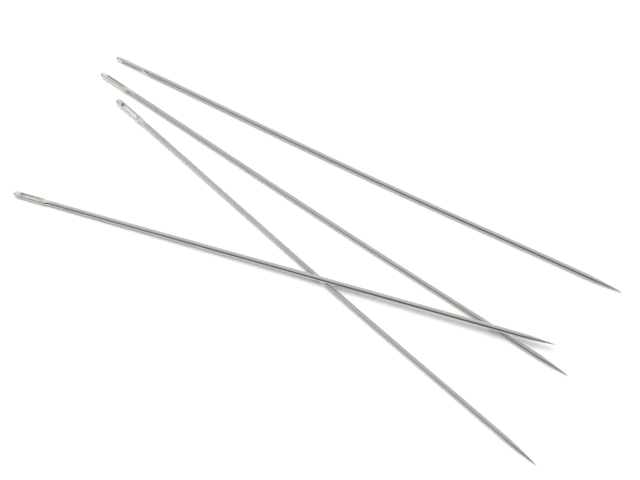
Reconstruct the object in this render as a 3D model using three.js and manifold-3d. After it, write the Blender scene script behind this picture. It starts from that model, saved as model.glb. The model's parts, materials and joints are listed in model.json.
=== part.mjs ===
// Four long eyed hand needles lying loosely across each other, in millimetres, +Z up.
// Each needle is one length of steel wire. Its head is spread, flattened, grooved and pierced, and its
// other end is ground to a point. A needle is one piece, held here as two solids a hair apart: the short
// head, so that its eye stays open even to a rough outline of the solid, and the rest of the wire.
// The origin is at the bottom centre of the whole set.
import * as THREE from "three";
import { mergeVertices } from "three/addons/utils/BufferGeometryUtils.js";
import Module from "manifold-3d";

const wasm = await Module();
wasm.setup();

// A needle runs along X, from its eye end at 0 to its point. Its eye goes through it along Z.
const LENGTH = 127;
const SHAFT_R = 0.6;
const POINT_LENGTH = 10;
const POINT_SHARPNESS = 1.8; // over 1, so that the point's sides are convex
const POINT_WEAR = 0.3; // how much shorter the point is than a perfectly sharp one

const NOSE_LENGTH = 1.3;
const HEAD_WIDTH = 1.52;
const HEAD_THICKNESS = 0.84;
const HEAD_END = 7.2;
const SHOULDER_LENGTH = 1.4;

const EYE_START = 1.75;
const EYE_END = 6.3;
const EYE_WIDTH = 0.64;
const EYE_CORNER_R = 0.1; // the corners nearer the shaft are squarer than the round end

const GROOVE_START = 1.45;
const GROOVE_END = 9.3; // where its cutter would shrink to nothing, a little past its last mark
const GROOVE_RUNOUT = 2.4;
const GROOVE_WIDTH = 0.86;
const GROOVE_DEPTH = 0.18;

const ROUND_SIDES = 20;
const HEAD_CUT = 8.8; // where the head's solid ends, on the round wire just past the shoulder
const CUT_GAP = 0.05; // between the head's solid and the shaft's
const REST_GAP = 0.05; // air between the crossing needle and the one it rests on

// Where each needle's eye end lies, the way it points, how far it has rolled about its own length, and how
// far its middle bows sideways.
const NEEDLES = [
  { name: "back_needle", eye: [-46.5, 43.05], heading: -25.9, roll: 82, bow: -0.57 },
  { name: "middle_needle", eye: [-49.95, 39.35], heading: -34.0, roll: -45, bow: -0.33 },
  { name: "front_needle", eye: [-46.3, 33.0], heading: -42.1, roll: -4, bow: -0.39 },
  { name: "crossing_needle", eye: [-69.25, 10.85], heading: -16.46, roll: -16, bow: 0 },
];

function solidOf(geometry) {
  const bare = geometry.clone();
  bare.deleteAttribute("normal");
  bare.deleteAttribute("uv");
  const merged = mergeVertices(bare);
  const vertProperties = merged.attributes.position.array;
  const triVerts = new Uint32Array(merged.index.array);
  return new wasm.Manifold(new wasm.Mesh({ numProp: 3, vertProperties, triVerts }));
}

function geometryOf(solid) {
  const mesh = solid.getMesh();
  const geometry = new THREE.BufferGeometry();
  geometry.setAttribute("position", new THREE.BufferAttribute(mesh.vertProperties, 3));
  geometry.setIndex(new THREE.BufferAttribute(mesh.triVerts, 1));
  return geometry;
}

// A round body along X from its profile's points, which are (radius, distance along X).
function turned(profile) {
  const points = profile.map(([radius, along]) => new THREE.Vector2(radius, along));
  return new THREE.LatheGeometry(points, ROUND_SIDES).rotateZ(-Math.PI / 2);
}

function range(count, value) {
  return Array.from({ length: count }, (_, i) => value(i));
}

// The radius at a distance back from the worn tip, while the wire is still round.
function pointRadius(back) {
  const ground = Math.max(1 - (back + POINT_WEAR) / POINT_LENGTH, 0);
  return SHAFT_R * (1 - ground ** POINT_SHARPNESS);
}

// The wire with a rounded nose at its eye end and a ground point, with rings along it so that it can bend.
function wireBlank() {
  const noseSteps = 6;
  const shaftSteps = 12;
  const nose = range(noseSteps + 1, (i) => {
    const angle = ((Math.PI / 2) * i) / noseSteps;
    return [SHAFT_R * Math.sin(angle), NOSE_LENGTH * (1 - Math.cos(angle))];
  });
  const head = [2.5, 4, 5.5, HEAD_END].map((along) => [SHAFT_R, along]);
  const shoulderEnd = HEAD_END + SHOULDER_LENGTH;
  const shoulder = range(3, (i) => [SHAFT_R, HEAD_END + (SHOULDER_LENGTH * (i + 1)) / 3]);
  const shaftLength = LENGTH - POINT_LENGTH - shoulderEnd;
  const shaft = range(shaftSteps, (i) => [
    SHAFT_R,
    shoulderEnd + (shaftLength * (i + 1)) / shaftSteps,
  ]);
  const point = [7.5, 5.2, 3.3, 1.8, 0.8, 0.03].map((back) => [pointRadius(back), LENGTH - back]);
  return turned([...nose, ...head, ...shoulder, ...shaft, ...point, [0, LENGTH]]);
}

// Pressing the head spreads it sideways. The spread is full along the head and dies out over the shoulder.
function spreadHead(geometry) {
  const most = HEAD_WIDTH / (2 * SHAFT_R);
  const position = geometry.attributes.position;
  for (let i = 0; i < position.count; i++) {
    const pastHead = (position.getX(i) - HEAD_END) / SHOULDER_LENGTH;
    const spread = THREE.MathUtils.lerp(most, 1, THREE.MathUtils.clamp(pastHead, 0, 1));
    position.setY(i, position.getY(i) * spread);
  }
  return geometry;
}

// What the press takes off one face of the head: a slab whose end slopes up to clear the shaft.
function faceCutter(turn) {
  const face = HEAD_THICKNESS / 2;
  const clear = 2 * SHAFT_R - face;
  const side = new THREE.Shape();
  side.moveTo(-1, face);
  side.lineTo(HEAD_END, face);
  side.lineTo(HEAD_END + 2 * SHOULDER_LENGTH, clear);
  side.lineTo(-1, clear);
  const options = { depth: 2 * HEAD_WIDTH, bevelEnabled: false };
  return new THREE.ExtrudeGeometry(side, options)
    .translate(0, 0, -HEAD_WIDTH)
    .rotateX(Math.PI / 2)
    .rotateX(turn);
}

// The round-bottomed thread groove in one face, which leads into the eye from both ends.
function grooveCutter(turn) {
  const radius = (GROOVE_WIDTH ** 2 / 4 + GROOVE_DEPTH ** 2) / (2 * GROOVE_DEPTH);
  const lift = HEAD_THICKNESS / 2 - GROOVE_DEPTH + radius;
  const entry = range(5, (i) => {
    const angle = (Math.PI / 2) * (i / 4);
    return [radius * Math.sin(angle), GROOVE_START + radius * (1 - Math.cos(angle))];
  });
  const body = [[radius, GROOVE_END - GROOVE_RUNOUT]];
  return turned([...entry, ...body, [0, GROOVE_END]]).translate(0, 0, lift).rotateX(turn);
}

// The long eye: round at the nose's side and nearly square at the shaft's side.
function eyeCutter() {
  const half = EYE_WIDTH / 2;
  const corner = EYE_CORNER_R;
  const outline = new THREE.Shape();
  outline.moveTo(EYE_START + half, -half);
  outline.lineTo(EYE_END - corner, -half);
  outline.absarc(EYE_END - corner, corner - half, corner, -Math.PI / 2, 0);
  outline.absarc(EYE_END - corner, half - corner, corner, 0, Math.PI / 2);
  outline.lineTo(EYE_START + half, half);
  outline.absarc(EYE_START + half, 0, half, Math.PI / 2, (3 * Math.PI) / 2);
  const options = { depth: 2 * HEAD_WIDTH, bevelEnabled: false, curveSegments: 5 };
  return new THREE.ExtrudeGeometry(outline, options).translate(0, 0, -HEAD_WIDTH);
}

// A block across the needle from one distance along it to another.
function slice(start, end) {
  const side = 2 * HEAD_WIDTH;
  return solidOf(new THREE.BoxGeometry(end - start, side, side).translate((start + end) / 2, 0, 0));
}

function straightNeedle() {
  const cutters = [
    faceCutter(0),
    faceCutter(Math.PI),
    grooveCutter(0),
    grooveCutter(Math.PI),
    eyeCutter(),
  ];
  const blank = solidOf(spreadHead(wireBlank()));
  const whole = cutters.reduce((solid, cutter) => solid.subtract(solidOf(cutter)), blank);
  return {
    head: geometryOf(whole.intersect(slice(-1, HEAD_CUT))),
    shaft: geometryOf(whole.intersect(slice(HEAD_CUT + CUT_GAP, LENGTH + 1))),
  };
}

// A soft sideways bend that leaves both ends of the needle straight.
function bowSideways(geometry, bow) {
  const position = geometry.attributes.position;
  for (let i = 0; i < position.count; i++) {
    const share = THREE.MathUtils.clamp(position.getX(i) / LENGTH, 0, 1);
    position.setY(i, position.getY(i) + bow * Math.sin(Math.PI * share) ** 2);
  }
  return geometry;
}

function laidNeedle({ name, eye, heading, roll, bow }) {
  const needle = new THREE.Group();
  needle.name = name;
  for (const [part, geometry] of Object.entries(straight)) {
    const rolled = geometry.clone().rotateX(THREE.MathUtils.degToRad(roll));
    const steel = new THREE.MeshStandardMaterial({ color: 0xcdcbc6, roughness: 0.28, metalness: 1 });
    const mesh = new THREE.Mesh(bowSideways(rolled, bow), steel);
    mesh.name = `${name}_${part}`;
    needle.add(mesh);
  }
  needle.userData.headDrop = -new THREE.Box3().setFromObject(needle, true).min.z;
  needle.rotation.order = "ZYX";
  needle.rotation.z = THREE.MathUtils.degToRad(heading);
  needle.position.set(...eye, 0);
  return needle;
}

// Turns a needle about its eye end until its axis rises by the given height over the given run.
function tiltUp(needle, rise, run) {
  needle.rotation.y = -Math.atan2(rise, run);
}

function putOnSurface(needle) {
  needle.position.z = 0;
  needle.position.z = -new THREE.Box3().setFromObject(needle, true).min.z;
}

// How far along the first needle, from its eye end, it passes over the second, seen from above.
function crossingDistance(over, under) {
  const [a, b] = [over, under].map(({ rotation, position }) => ({
    along: new THREE.Vector2(Math.cos(rotation.z), Math.sin(rotation.z)),
    start: new THREE.Vector2(position.x, position.y),
  }));
  const between = b.start.sub(a.start);
  return between.cross(b.along) / a.along.cross(b.along);
}

const straight = straightNeedle();
const headMiddle = (EYE_START + EYE_END) / 2;
const laid = NEEDLES.map(laidNeedle);
const [back, middle, front, crossing] = laid;

// These three lie on the surface, on the lowest edge of the head and on the shaft just before the point.
for (const needle of [back, middle, front]) {
  tiltUp(needle, SHAFT_R - needle.userData.headDrop, LENGTH - POINT_LENGTH - headMiddle);
  putOnSurface(needle);
}

// The crossing needle's head is on the surface too, but its shaft leans on the front needle.
const leanHeight = front.userData.headDrop + 2 * SHAFT_R + REST_GAP;
tiltUp(
  crossing,
  leanHeight - crossing.userData.headDrop,
  crossingDistance(crossing, front) - headMiddle,
);
putOnSurface(crossing);

const needles = new THREE.Group();
needles.name = "long_eyed_needles";
needles.add(...laid);
const centre = new THREE.Box3().setFromObject(needles, true).getCenter(new THREE.Vector3());
for (const needle of laid) needle.position.sub(centre.setZ(0));

export default needles;
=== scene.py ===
"""Four long eyed steel needles on a pale table: the fine, smooth surface and the look of each needle.

Every needle's place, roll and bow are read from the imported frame. Lengths inside a needle are in
millimetres, as a needle's own drawing would give them, and are turned into metres when its mesh is made.
"""

import json
import math

import bmesh
import bpy
import numpy as np
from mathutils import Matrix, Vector


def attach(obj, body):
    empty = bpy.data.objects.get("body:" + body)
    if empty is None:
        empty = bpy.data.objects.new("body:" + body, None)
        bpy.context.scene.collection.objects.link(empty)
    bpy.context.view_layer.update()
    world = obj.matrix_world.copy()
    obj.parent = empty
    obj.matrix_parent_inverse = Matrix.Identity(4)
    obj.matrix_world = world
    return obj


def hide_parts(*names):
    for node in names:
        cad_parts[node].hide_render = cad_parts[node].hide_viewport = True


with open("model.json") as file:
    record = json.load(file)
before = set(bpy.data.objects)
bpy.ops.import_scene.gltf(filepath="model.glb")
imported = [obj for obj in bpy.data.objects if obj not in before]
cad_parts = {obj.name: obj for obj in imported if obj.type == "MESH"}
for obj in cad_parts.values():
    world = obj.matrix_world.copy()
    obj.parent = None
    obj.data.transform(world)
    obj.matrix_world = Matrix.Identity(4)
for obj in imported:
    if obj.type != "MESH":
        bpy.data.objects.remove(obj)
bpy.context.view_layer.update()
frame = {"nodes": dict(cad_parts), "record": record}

MM = 0.001

# One needle, along its own x from the eye end. Its width is y, and its eye goes through it along z.
LENGTH = 127.0
SHAFT_R = 0.6
POINT_LENGTH = 10.0
POINT_SHARPNESS = 1.8
POINT_WEAR = 0.3  # how much shorter the point is than a perfectly sharp one
POINT_ROUND = 0.05  # the length of its rounded end
NOSE_LENGTH = 1.3
HEAD_WIDTH = 1.52
HEAD_THICKNESS = 0.84
HEAD_END = 7.2
SHOULDER_LENGTH = 1.4
EYE_START = 1.75
EYE_END = 6.3
EYE_WIDTH = 0.64
EYE_SQUARE_END = 0.1  # how much of the eye's length its flatter end takes, nearer the shaft
GROOVE_START = 1.45
GROOVE_END = 9.3
GROOVE_RUNOUT = 2.4
GROOVE_WIDTH = 0.86
GROOVE_DEPTH = 0.18
RIM_R = 0.08  # the rounding of the eye's edge, which must not cut the thread
GROOVE_WALL_SLOPE = 3.0  # how steeply the groove's cutter rises outside its own width
EDGE_SOFTNESS = 0.03  # the rounding where the pressed flat and the groove meet the round wire

STEEL = (0.62, 0.61, 0.59, 1.0)
STEEL_DARK = (0.54, 0.53, 0.51, 1.0)
STEEL_WARM = (0.57, 0.55, 0.515, 1.0)
# The head's steel: a little warmer than the wire, and lighter as painted sheen standing in for the head's
# brighter reflections.
STEEL_HEAD_SHEEN = (0.72, 0.705, 0.67, 1.0)
STEEL_GROOVE = (0.62, 0.6, 0.56, 1.0)

# About how many marks of each kind there are to a millimetre, along, across and through a needle.
DRAWING_LINES = (0.12, 9.0, 9.0)
HANDLING_MARKS = (0.22, 0.7, 0.7)
PRESSING_MARKS = (1.6, 2.4, 2.4)
GRINDING_MARKS = (7.0, 1.5, 1.5)

# The span of each kind's noise over which it goes from nothing to full.
LINE_SPAN = (0.3, 0.7)
HANDLING_TINT_SPAN = (0.45, 0.75)
HANDLING_DULL_SPAN = (0.4, 0.7)

# The roughness of clean wire, from its smoothest lines to its roughest, and what the rest adds to it.
LINE_ROUGHNESS = (0.09, 0.17)
HANDLING_ROUGHNESS = 0.06
GROOVE_ROUGHNESS = 0.2
POINT_ROUGHNESS = 0.1
POINT_FULLY_GROUND = 0.7  # the share of the point, from its tip, that has all of its grinding marks

# Depths of bump, in metres.
LINE_DEPTH = 2.0e-6
PRESSING_DEPTH = 6.0e-6
GRINDING_DEPTH = 3.0e-6

# The studio and the camera. Lengths are in metres and angles in degrees, unless a name says otherwise.
CARD_CENTRE = (-0.2, -0.35, 0.39)
CARD_WIDTH = 1.6
CARD_HEIGHT = 0.78
CARD_PALE_X = -0.62
CARD_DARK_X = -0.17
CARD_PALE = 0.95
CARD_DARK = 0.12
SIDE_CARD_CENTRE = (-0.9, 0.2, 0.33)
SIDE_CARD_WIDTH = 0.9
SIDE_CARD_HEIGHT = 0.6
SIDE_CARD_GREY = 0.1
BRIGHT_SIDE = (-0.6, 0.8, 0.0)
WORLD_DIM = 0.25
WORLD_BRIGHT = 1.15
TABLE_PALE = 0.8
TABLE_ROUGHNESS = 0.9
TABLE_SIZE = 3.0
KEY_SIDE = (-0.3, 0.3, 1.0)
KEY_POWER = 12.0
KEY_DISTANCE = 1.2
KEY_SIZE = 0.6
CAMERA_ELEVATION = 74.0
CAMERA_DISTANCE = 0.9012
CAMERA_AIM = (0.00078, 0.0044, 0.0)
CAMERA_SENSOR_MM = 36.0
CAMERA_LENS_MM = 225.0

ROWS = 22  # faces from a needle's middle line to its side, in one quarter
EYE_EDGE_STEPS = 400  # straight steps that stand for one side of the eye's edge
SHAFT_RINGS_START = 10.0  # past the groove, where rings can be far apart
WELD_WITHIN = 1e-7  # metres
COLLAPSED_WITHIN = 1e-9  # metres
NO_WIDTH = 1e-9  # keeps a division from failing at a needle's two ends


def ease(x):
    """A smooth step from 0 to 1."""
    x = np.clip(x, 0.0, 1.0)
    return x * x * (3.0 - 2.0 * x)


def smooth_min(a, b, softness):
    """The lower of a and b, with a round blend as deep as softness where they meet."""
    blend = np.clip(0.5 + 0.5 * (b - a) / softness, 0.0, 1.0)
    return b + (a - b) * blend - softness * blend * (1.0 - blend)


def wire_radius(x):
    """The round wire's radius before the head is pressed, with its rounded nose and its ground point."""
    before_nose = np.clip(1.0 - x / NOSE_LENGTH, 0.0, 1.0)
    ground = 1.0 - np.clip(1.0 - (LENGTH + POINT_WEAR - x) / POINT_LENGTH, 0.0, 1.0) ** POINT_SHARPNESS
    at_end = np.clip(1.0 - (LENGTH - x) / POINT_ROUND, 0.0, 1.0)
    return SHAFT_R * np.sqrt(1.0 - before_nose**2) * ground * np.sqrt(1.0 - at_end**2)


def half_width(x):
    """Half of the needle's width seen along the eye. The pressed head is wider than the wire."""
    spread = HEAD_WIDTH / (2.0 * SHAFT_R)
    return wire_radius(x) * (spread + (1.0 - spread) * ease((x - HEAD_END) / SHOULDER_LENGTH))


def eye_edge(x):
    """Half of the eye's width at x, or 0 outside the eye. One end is round and the other nearly square."""
    half = EYE_WIDTH / 2.0
    from_start = np.clip(1.0 - (x - EYE_START) / half, 0.0, 1.0)
    from_end = np.clip(1.0 - (EYE_END - x) / EYE_SQUARE_END, 0.0, 1.0)
    edge = half * np.sqrt(1.0 - from_start**2) * np.sqrt(1.0 - from_end**2)
    return np.where((x > EYE_START) & (x < EYE_END), edge, 0.0)


def eased(start, end, count, closer="both"):
    """Stations from start to end, set closer together towards one end or both."""
    share = np.linspace(0.0, 1.0, count + 1)
    shares = {
        "both": 0.5 - 0.5 * np.cos(math.pi * share),
        "start": 1.0 - np.cos(0.5 * math.pi * share),
        "end": np.sin(0.5 * math.pi * share),
        "even": share,
    }
    return start + (end - start) * shares[closer]


def outside_eye(x, y):
    """The distance from points of the head's plan to the nearest part of the eye's edge."""
    along = eased(EYE_START, EYE_END, EYE_EDGE_STEPS)
    edge = np.stack([along, eye_edge(along)], axis=1)
    a, step = edge[:-1], np.diff(edge, axis=0)
    p = np.stack([x, np.abs(y)], axis=-1)[..., None, :]
    share = np.clip(((p - a) * step).sum(-1) / (step**2).sum(-1), 0.0, 1.0)
    return np.linalg.norm(p - a - share[..., None] * step, axis=-1).min(axis=-1)


def groove_floor(x, y):
    """The height of the round-bottomed thread groove, which leads into the eye from both of its ends."""
    radius = (GROOVE_WIDTH**2 / 4.0 + GROOVE_DEPTH**2) / (2.0 * GROOVE_DEPTH)
    lift = HEAD_THICKNESS / 2.0 - GROOVE_DEPTH + radius
    entry = np.clip(1.0 - (x - GROOVE_START) / radius, 0.0, 1.0)
    runout = np.clip((GROOVE_END - x) / GROOVE_RUNOUT, 0.0, 1.0)
    cutter = radius * np.sqrt(1.0 - entry**2) * runout
    wall = GROOVE_WALL_SLOPE * np.maximum(np.abs(y) - cutter, 0.0)
    return lift - np.sqrt(np.maximum(cutter**2 - y**2, 0.0)) + wall


def surface(x, y):
    """The height above the needle's middle plane at plan points x, y, and how far each is in the groove."""
    side = np.clip(np.abs(y) / np.maximum(half_width(x), NO_WIDTH), 0.0, 1.0)
    wire = wire_radius(x) * np.sqrt(1.0 - side**2)
    slope = (SHAFT_R - HEAD_THICKNESS / 2.0) / SHOULDER_LENGTH
    flat = HEAD_THICKNESS / 2.0 + slope * np.maximum(x - HEAD_END, 0.0)
    pressed = smooth_min(wire, flat, EDGE_SOFTNESS)
    grooved = smooth_min(pressed, groove_floor(x, y), EDGE_SOFTNESS)
    in_groove = np.clip((pressed - grooved) / GROOVE_DEPTH, 0.0, 1.0)
    near_rim = np.clip(1.0 - outside_eye(x, y) / RIM_R, 0.0, 1.0)
    return grooved - RIM_R * (1.0 - np.sqrt(1.0 - near_rim**2)), in_groove


def stations():
    """Where the mesh has a ring along the needle, closer together wherever its shape turns quickly."""
    half = EYE_WIDTH / 2.0
    shaft_end = LENGTH - POINT_LENGTH
    runs = [
        eased(0.0, NOSE_LENGTH, 16, "start"),
        eased(NOSE_LENGTH, GROOVE_START, 4, "even"),
        eased(GROOVE_START, EYE_START - RIM_R, 6, "start"),
        eased(EYE_START - RIM_R, EYE_START, 5, "end"),
        eased(EYE_START, EYE_START + half, 10, "start"),
        eased(EYE_START + half, EYE_END - EYE_SQUARE_END, 24, "even"),
        eased(EYE_END - EYE_SQUARE_END, EYE_END, 8, "end"),
        eased(EYE_END, EYE_END + RIM_R, 5, "start"),
        eased(EYE_END + RIM_R, SHAFT_RINGS_START, 38, "even"),
        eased(SHAFT_RINGS_START, shaft_end, 54, "even"),
        eased(shaft_end, LENGTH - POINT_ROUND, 30, "end"),
        eased(LENGTH - POINT_ROUND, LENGTH, 6, "end"),
    ]
    return np.concatenate([runs[0]] + [run[1:] for run in runs[1:]])


def needle_surface():
    """One straight needle: its points in millimetres, its faces, and how far each point is in the groove."""
    along = stations()
    inner = eye_edge(along)
    outer = half_width(along)
    share = eased(0.0, 1.0, ROWS)
    x = np.repeat(along[:, None], ROWS + 1, axis=1)
    y = inner[:, None] + (outer - inner)[:, None] * share
    z, groove = surface(x, y)
    z[:, -1] = 0.0
    points, marks, faces = [], [], []
    for side, top in ((1, 1), (-1, 1), (1, -1), (-1, -1)):
        first = len(points) * x.size
        points.append(np.stack([x, side * y, top * z], axis=-1).reshape(-1, 3))
        marks.append(groove.reshape(-1))
        for i in range(len(along) - 1):
            for j in range(ROWS):
                a = first + i * (ROWS + 1) + j
                ring = [a, a + ROWS + 1, a + ROWS + 2, a + 1]
                faces.append(ring if side * top > 0 else ring[::-1])
    faces += eye_walls(inner, len(along))
    return np.concatenate(points), faces, np.concatenate(marks)


def eye_walls(inner, count):
    """The faces that join the upper and lower edges of the eye, on both of its sides."""
    quarter = count * (ROWS + 1)
    faces = []
    for i in range(count - 1):
        if inner[i] > 0.0 or inner[i + 1] > 0.0:
            for side, flip in ((0, False), (1, True)):
                upper = side * quarter + i * (ROWS + 1)
                lower = upper + 2 * quarter
                ring = [upper, lower, lower + ROWS + 1, upper + ROWS + 1]
                faces.append(ring[::-1] if flip else ring)
    return faces


def placement(nodes, face_axis):
    """A needle's x, y and z directions and its eye end in the row frame, and its bow as a vector."""
    points = np.array([vertex.co for node in nodes for vertex in frame["nodes"][node].data.vertices])
    tip = points[points[:, 0].argmax()]
    eye = points[np.linalg.norm(points - tip, axis=1).argmax()]
    x_axis = (tip - eye) / np.linalg.norm(tip - eye)
    z_axis = np.array(face_axis) - np.dot(face_axis, x_axis) * x_axis
    z_axis /= np.linalg.norm(z_axis)
    side = np.cross((0.0, 0.0, 1.0), x_axis)
    side /= np.linalg.norm(side)
    bend = bow_shape((points - eye) @ x_axis / (LENGTH * MM))
    bow = ((points - eye) @ side * bend).sum() / (bend**2).sum()
    return np.array((x_axis, np.cross(z_axis, x_axis), z_axis)), eye, bow * side


def bow_shape(share):
    """How much of a needle's bow is reached at a share of its length. Both of its ends stay straight."""
    return np.sin(math.pi * np.clip(share, 0.0, 1.0)) ** 2


def make_needle(name, face_axis, material):
    """The fine mesh of one needle, in one piece, lying where the CAD's head and shaft lie."""
    nodes = (name + "_head", name + "_shaft")
    axes, eye, bow = placement(nodes, face_axis)
    points, faces, groove = needle_surface()
    placed = eye + points * MM @ axes + bow_shape(points[:, :1] / LENGTH) * bow
    mesh = bpy.data.meshes.new(name + "_steel")
    mesh.from_pydata(placed.tolist(), [], faces)
    mesh.attributes.new("drawing_mm", "FLOAT_VECTOR", "POINT").data.foreach_set("vector", points.ravel())
    mesh.attributes.new("groove", "FLOAT", "POINT").data.foreach_set("value", groove)
    weld(mesh)
    mesh.shade_smooth()
    mesh.materials.append(material)
    piece = bpy.data.objects.new(name + "_steel", mesh)
    bpy.context.scene.collection.objects.link(piece)
    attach(piece, name)
    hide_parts(*nodes)


def weld(mesh):
    """Joins the quarters of a needle where they meet, and drops faces that shrink to nothing at its ends."""
    work = bmesh.new()
    work.from_mesh(mesh)
    bmesh.ops.remove_doubles(work, verts=work.verts, dist=WELD_WITHIN)
    bmesh.ops.dissolve_degenerate(work, edges=work.edges, dist=COLLAPSED_WITHIN)
    bmesh.ops.recalc_face_normals(work, faces=work.faces)
    work.to_mesh(mesh)
    work.free()


def mapped(tree, value, low, high, start=0.0, end=1.0):
    """A value's span from start to end, turned smoothly into the span from low to high."""
    node = tree.nodes.new("ShaderNodeMapRange")
    node.interpolation_type = "SMOOTHSTEP"
    node.inputs["From Min"].default_value = start
    node.inputs["From Max"].default_value = end
    node.inputs["To Min"].default_value = low
    node.inputs["To Max"].default_value = high
    tree.links.new(value, node.inputs["Value"])
    return node.outputs["Result"]


def summed(tree, *values):
    """The sum of several values."""
    total = values[0]
    for value in values[1:]:
        node = tree.nodes.new("ShaderNodeMath")
        node.operation = "ADD"
        tree.links.new(total, node.inputs[0])
        tree.links.new(value, node.inputs[1])
        total = node.outputs[0]
    return total


def tinted(tree, share, first, second):
    """The first colour where the share is 0 and the second where it is 1. Either may be a socket."""
    node = tree.nodes.new("ShaderNodeMix")
    node.data_type = "RGBA"
    tree.links.new(share, node.inputs["Factor"])
    for name, colour in (("A", first), ("B", second)):
        socket = next(s for s in node.inputs if s.name == name and s.type == "RGBA")
        if isinstance(colour, tuple):
            socket.default_value = colour
        else:
            tree.links.new(colour, socket)
    return next(s for s in node.outputs if s.type == "RGBA")


def grain(tree, place, per_mm, detail):
    """Noise over a needle's own millimetres, with so many marks to a millimetre along x, y and z."""
    stretch = tree.nodes.new("ShaderNodeVectorMath")
    stretch.operation = "MULTIPLY"
    stretch.inputs[1].default_value = per_mm
    tree.links.new(place, stretch.inputs[0])
    noise = tree.nodes.new("ShaderNodeTexNoise")
    noise.inputs["Scale"].default_value = 1.0
    noise.inputs["Detail"].default_value = detail
    tree.links.new(stretch.outputs[0], noise.inputs["Vector"])
    return noise.outputs["Fac"]


def bumped(tree, height, depth, under=None):
    """A normal for a surface as high as the given height, over the normal under it if there is one."""
    node = tree.nodes.new("ShaderNodeBump")
    node.inputs["Strength"].default_value = 1.0
    node.inputs["Distance"].default_value = depth
    tree.links.new(height, node.inputs["Height"])
    if under:
        tree.links.new(under, node.inputs["Normal"])
    return node.outputs["Normal"]


def masked_bump(tree, height, mask, depth, under):
    """A normal whose bump is full where the mask is 1 and none where it is 0."""
    node = tree.nodes.new("ShaderNodeMath")
    node.operation = "MULTIPLY"
    tree.links.new(height, node.inputs[0])
    tree.links.new(mask, node.inputs[1])
    return bumped(tree, node.outputs[0], depth, under)


def stored(tree, name):
    """What the mesh stores under a name, as a node."""
    node = tree.nodes.new("ShaderNodeAttribute")
    node.attribute_name = name
    return node


def needle_steel():
    """Polished wire with fine drawing lines along it, a duller pressed groove, a ground point, and a head
    painted lighter as sheen.
    """
    material = bpy.data.materials.new("needle_steel")
    material.use_nodes = True
    tree = material.node_tree
    shader = tree.nodes["Principled BSDF"]
    shader.inputs["Metallic"].default_value = 1.0
    place = stored(tree, "drawing_mm").outputs["Vector"]
    groove = stored(tree, "groove").outputs["Fac"]
    split = tree.nodes.new("ShaderNodeSeparateXYZ")
    tree.links.new(place, split.inputs[0])
    along = split.outputs["X"]

    lines = grain(tree, place, DRAWING_LINES, 3.0)
    handling = grain(tree, place, HANDLING_MARKS, 2.0)
    pressing = grain(tree, place, PRESSING_MARKS, 2.0)
    grinding = grain(tree, place, GRINDING_MARKS, 3.0)
    on_head = mapped(tree, along, 1.0, 0.0, HEAD_END, HEAD_END + 2.0 * SHOULDER_LENGTH)
    ground_from = LENGTH - POINT_FULLY_GROUND * POINT_LENGTH
    on_point = mapped(tree, along, 0.0, 1.0, LENGTH - POINT_LENGTH, ground_from)

    drawn = tinted(tree, mapped(tree, lines, 0.0, 1.0, *LINE_SPAN), STEEL_DARK, STEEL)
    handled_share = mapped(tree, handling, 0.0, 1.0, *HANDLING_TINT_SPAN)
    handled = tinted(tree, handled_share, drawn, STEEL_WARM)
    # Painted sheen: the head is tinted lighter and a little warmer than the wire, standing in for its
    # brighter reflections.
    head_sheen_colour = tinted(tree, on_head, handled, STEEL_HEAD_SHEEN)
    colour = tinted(tree, groove, head_sheen_colour, STEEL_GROOVE)
    tree.links.new(colour, shader.inputs["Base Color"])
    rough = summed(
        tree,
        mapped(tree, lines, *LINE_ROUGHNESS, *LINE_SPAN),
        mapped(tree, handling, 0.0, HANDLING_ROUGHNESS, *HANDLING_DULL_SPAN),
        mapped(tree, groove, 0.0, GROOVE_ROUGHNESS),
        mapped(tree, on_point, 0.0, POINT_ROUGHNESS),
    )
    tree.links.new(rough, shader.inputs["Roughness"])
    lined = bumped(tree, lines, LINE_DEPTH)
    pressed = masked_bump(tree, pressing, on_head, PRESSING_DEPTH, lined)
    ground = masked_bump(tree, grinding, on_point, GRINDING_DEPTH, pressed)
    tree.links.new(ground, shader.inputs["Normal"])
    return material


def make_camera():
    """A long lens, close to overhead, from the side that the crossing needle lies on."""
    elevation = math.radians(CAMERA_ELEVATION)
    back = Vector((0.0, -math.cos(elevation), math.sin(elevation)))
    camera = bpy.data.objects.new("camera", bpy.data.cameras.new("camera"))
    camera.data.sensor_width = CAMERA_SENSOR_MM
    camera.data.lens = CAMERA_LENS_MM
    camera.location = Vector(CAMERA_AIM) + back * CAMERA_DISTANCE
    camera.rotation_mode = "QUATERNION"
    camera.rotation_quaternion = (-back).to_track_quat("-Z", "Y")
    bpy.context.scene.collection.objects.link(camera)
    bpy.context.scene.camera = camera


def panel(name, centre, facing, width, height):
    """A flat panel that faces a direction and isn't part of the object: the panel and its material."""
    mesh = bpy.data.meshes.new(name)
    x, y = width / 2.0, height / 2.0
    mesh.from_pydata([(-x, -y, 0.0), (x, -y, 0.0), (x, y, 0.0), (-x, y, 0.0)], [], [(0, 1, 2, 3)])
    item = bpy.data.objects.new(name, mesh)
    item.location = centre
    item.rotation_mode = "QUATERNION"
    item.rotation_quaternion = Vector(facing).to_track_quat("Z", "Y")
    bpy.context.scene.collection.objects.link(item)
    material = bpy.data.materials.new(name)
    material.use_nodes = True
    mesh.materials.append(material)
    return item, material


def make_table():
    """A plain pale table top under the needles."""
    _, paint = panel("table_top", (0.0, 0.0, 0.0), (0.0, 0.0, 1.0), TABLE_SIZE, TABLE_SIZE)
    shader = paint.node_tree.nodes["Principled BSDF"]
    shader.inputs["Base Color"].default_value = (TABLE_PALE, TABLE_PALE, TABLE_PALE, 1.0)
    shader.inputs["Roughness"].default_value = TABLE_ROUGHNESS


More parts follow.
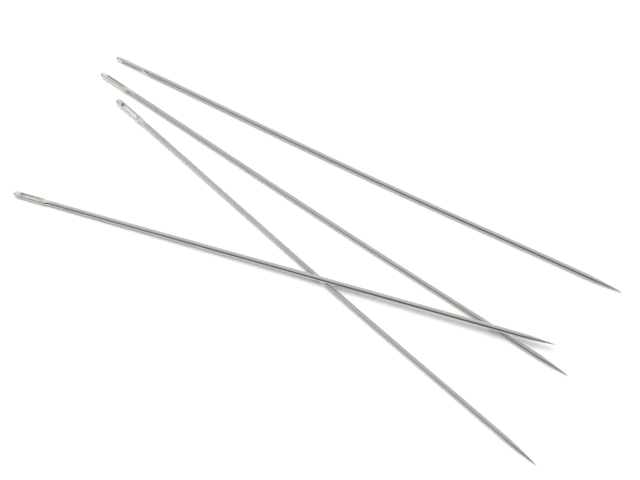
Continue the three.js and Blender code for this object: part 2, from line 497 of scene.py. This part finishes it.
def glowing_card(name, centre, facing, width, height):
    """A card seen only in the steel, as a grey of its own: its node tree and the strength of its glow."""
    card, paint = panel(name, centre, facing, width, height)
    shader = paint.node_tree.nodes["Principled BSDF"]
    shader.inputs["Base Color"].default_value = (0.0, 0.0, 0.0, 1.0)
    shader.inputs["Specular IOR Level"].default_value = 0.0
    shader.inputs["Emission Color"].default_value = (1.0, 1.0, 1.0, 1.0)
    card.visible_camera = False
    card.visible_shadow = False
    card.visible_diffuse = False
    return paint.node_tree, shader.inputs["Emission Strength"]


def make_front_card():
    """A card in front of the table, paler at its left end. It makes the dark line along each needle."""
    tree, glow = glowing_card("front_card", CARD_CENTRE, (0.0, 1.0, 0.0), CARD_WIDTH, CARD_HEIGHT)
    place = tree.nodes.new("ShaderNodeNewGeometry")
    split = tree.nodes.new("ShaderNodeSeparateXYZ")
    tree.links.new(place.outputs["Position"], split.inputs[0])
    grade = tree.nodes.new("ShaderNodeMapRange")
    grade.inputs["From Min"].default_value = CARD_PALE_X
    grade.inputs["From Max"].default_value = CARD_DARK_X
    grade.inputs["To Min"].default_value = CARD_PALE
    grade.inputs["To Max"].default_value = CARD_DARK
    tree.links.new(split.outputs["X"], grade.inputs["Value"])
    tree.links.new(grade.outputs["Result"], glow)


def make_side_card():
    """A dark card at the left, beyond the eye ends. It makes the dark rim of each needle's nose."""
    size = (SIDE_CARD_WIDTH, SIDE_CARD_HEIGHT)
    _, glow = glowing_card("side_card", SIDE_CARD_CENTRE, (1.0, 0.0, 0.0), *size)
    glow.default_value = SIDE_CARD_GREY


def make_light():
    """White light from all round, stronger from behind the needles on the left."""
    world = bpy.data.worlds.new("studio")
    bpy.context.scene.world = world
    world.use_nodes = True
    nodes, links = world.node_tree.nodes, world.node_tree.links
    direction = nodes.new("ShaderNodeTexCoord")
    towards = nodes.new("ShaderNodeVectorMath")
    towards.operation = "DOT_PRODUCT"
    towards.inputs[1].default_value = Vector(BRIGHT_SIDE).normalized()
    links.new(direction.outputs["Generated"], towards.inputs[0])
    grade = nodes.new("ShaderNodeMapRange")
    grade.inputs["From Min"].default_value = -1.0
    grade.inputs["To Min"].default_value = WORLD_DIM
    grade.inputs["To Max"].default_value = WORLD_BRIGHT
    links.new(towards.outputs["Value"], grade.inputs["Value"])
    links.new(grade.outputs["Result"], nodes["Background"].inputs["Strength"])
    nodes["Background"].inputs["Color"].default_value = (1.0, 1.0, 1.0, 1.0)


def make_key():
    """The soft light that throws the needles' shadows. The steel doesn't mirror it."""
    light = bpy.data.lights.new("key", "AREA")
    light.shape = "SQUARE"
    light.size = KEY_SIZE
    light.energy = KEY_POWER
    lamp = bpy.data.objects.new("key", light)
    towards = Vector(KEY_SIDE).normalized()
    lamp.location = towards * KEY_DISTANCE
    lamp.rotation_mode = "QUATERNION"
    lamp.rotation_quaternion = (-towards).to_track_quat("-Z", "Y")
    lamp.visible_glossy = False
    bpy.context.scene.collection.objects.link(lamp)


bpy.context.scene.view_settings.view_transform = "Standard"
steel = needle_steel()
for mount in frame["record"]["mounts"]:
    make_needle(mount["name"].removesuffix("_eye_flat"), mount["axis"], steel)
make_table()
make_front_card()
make_side_card()
make_light()
make_key()
make_camera()
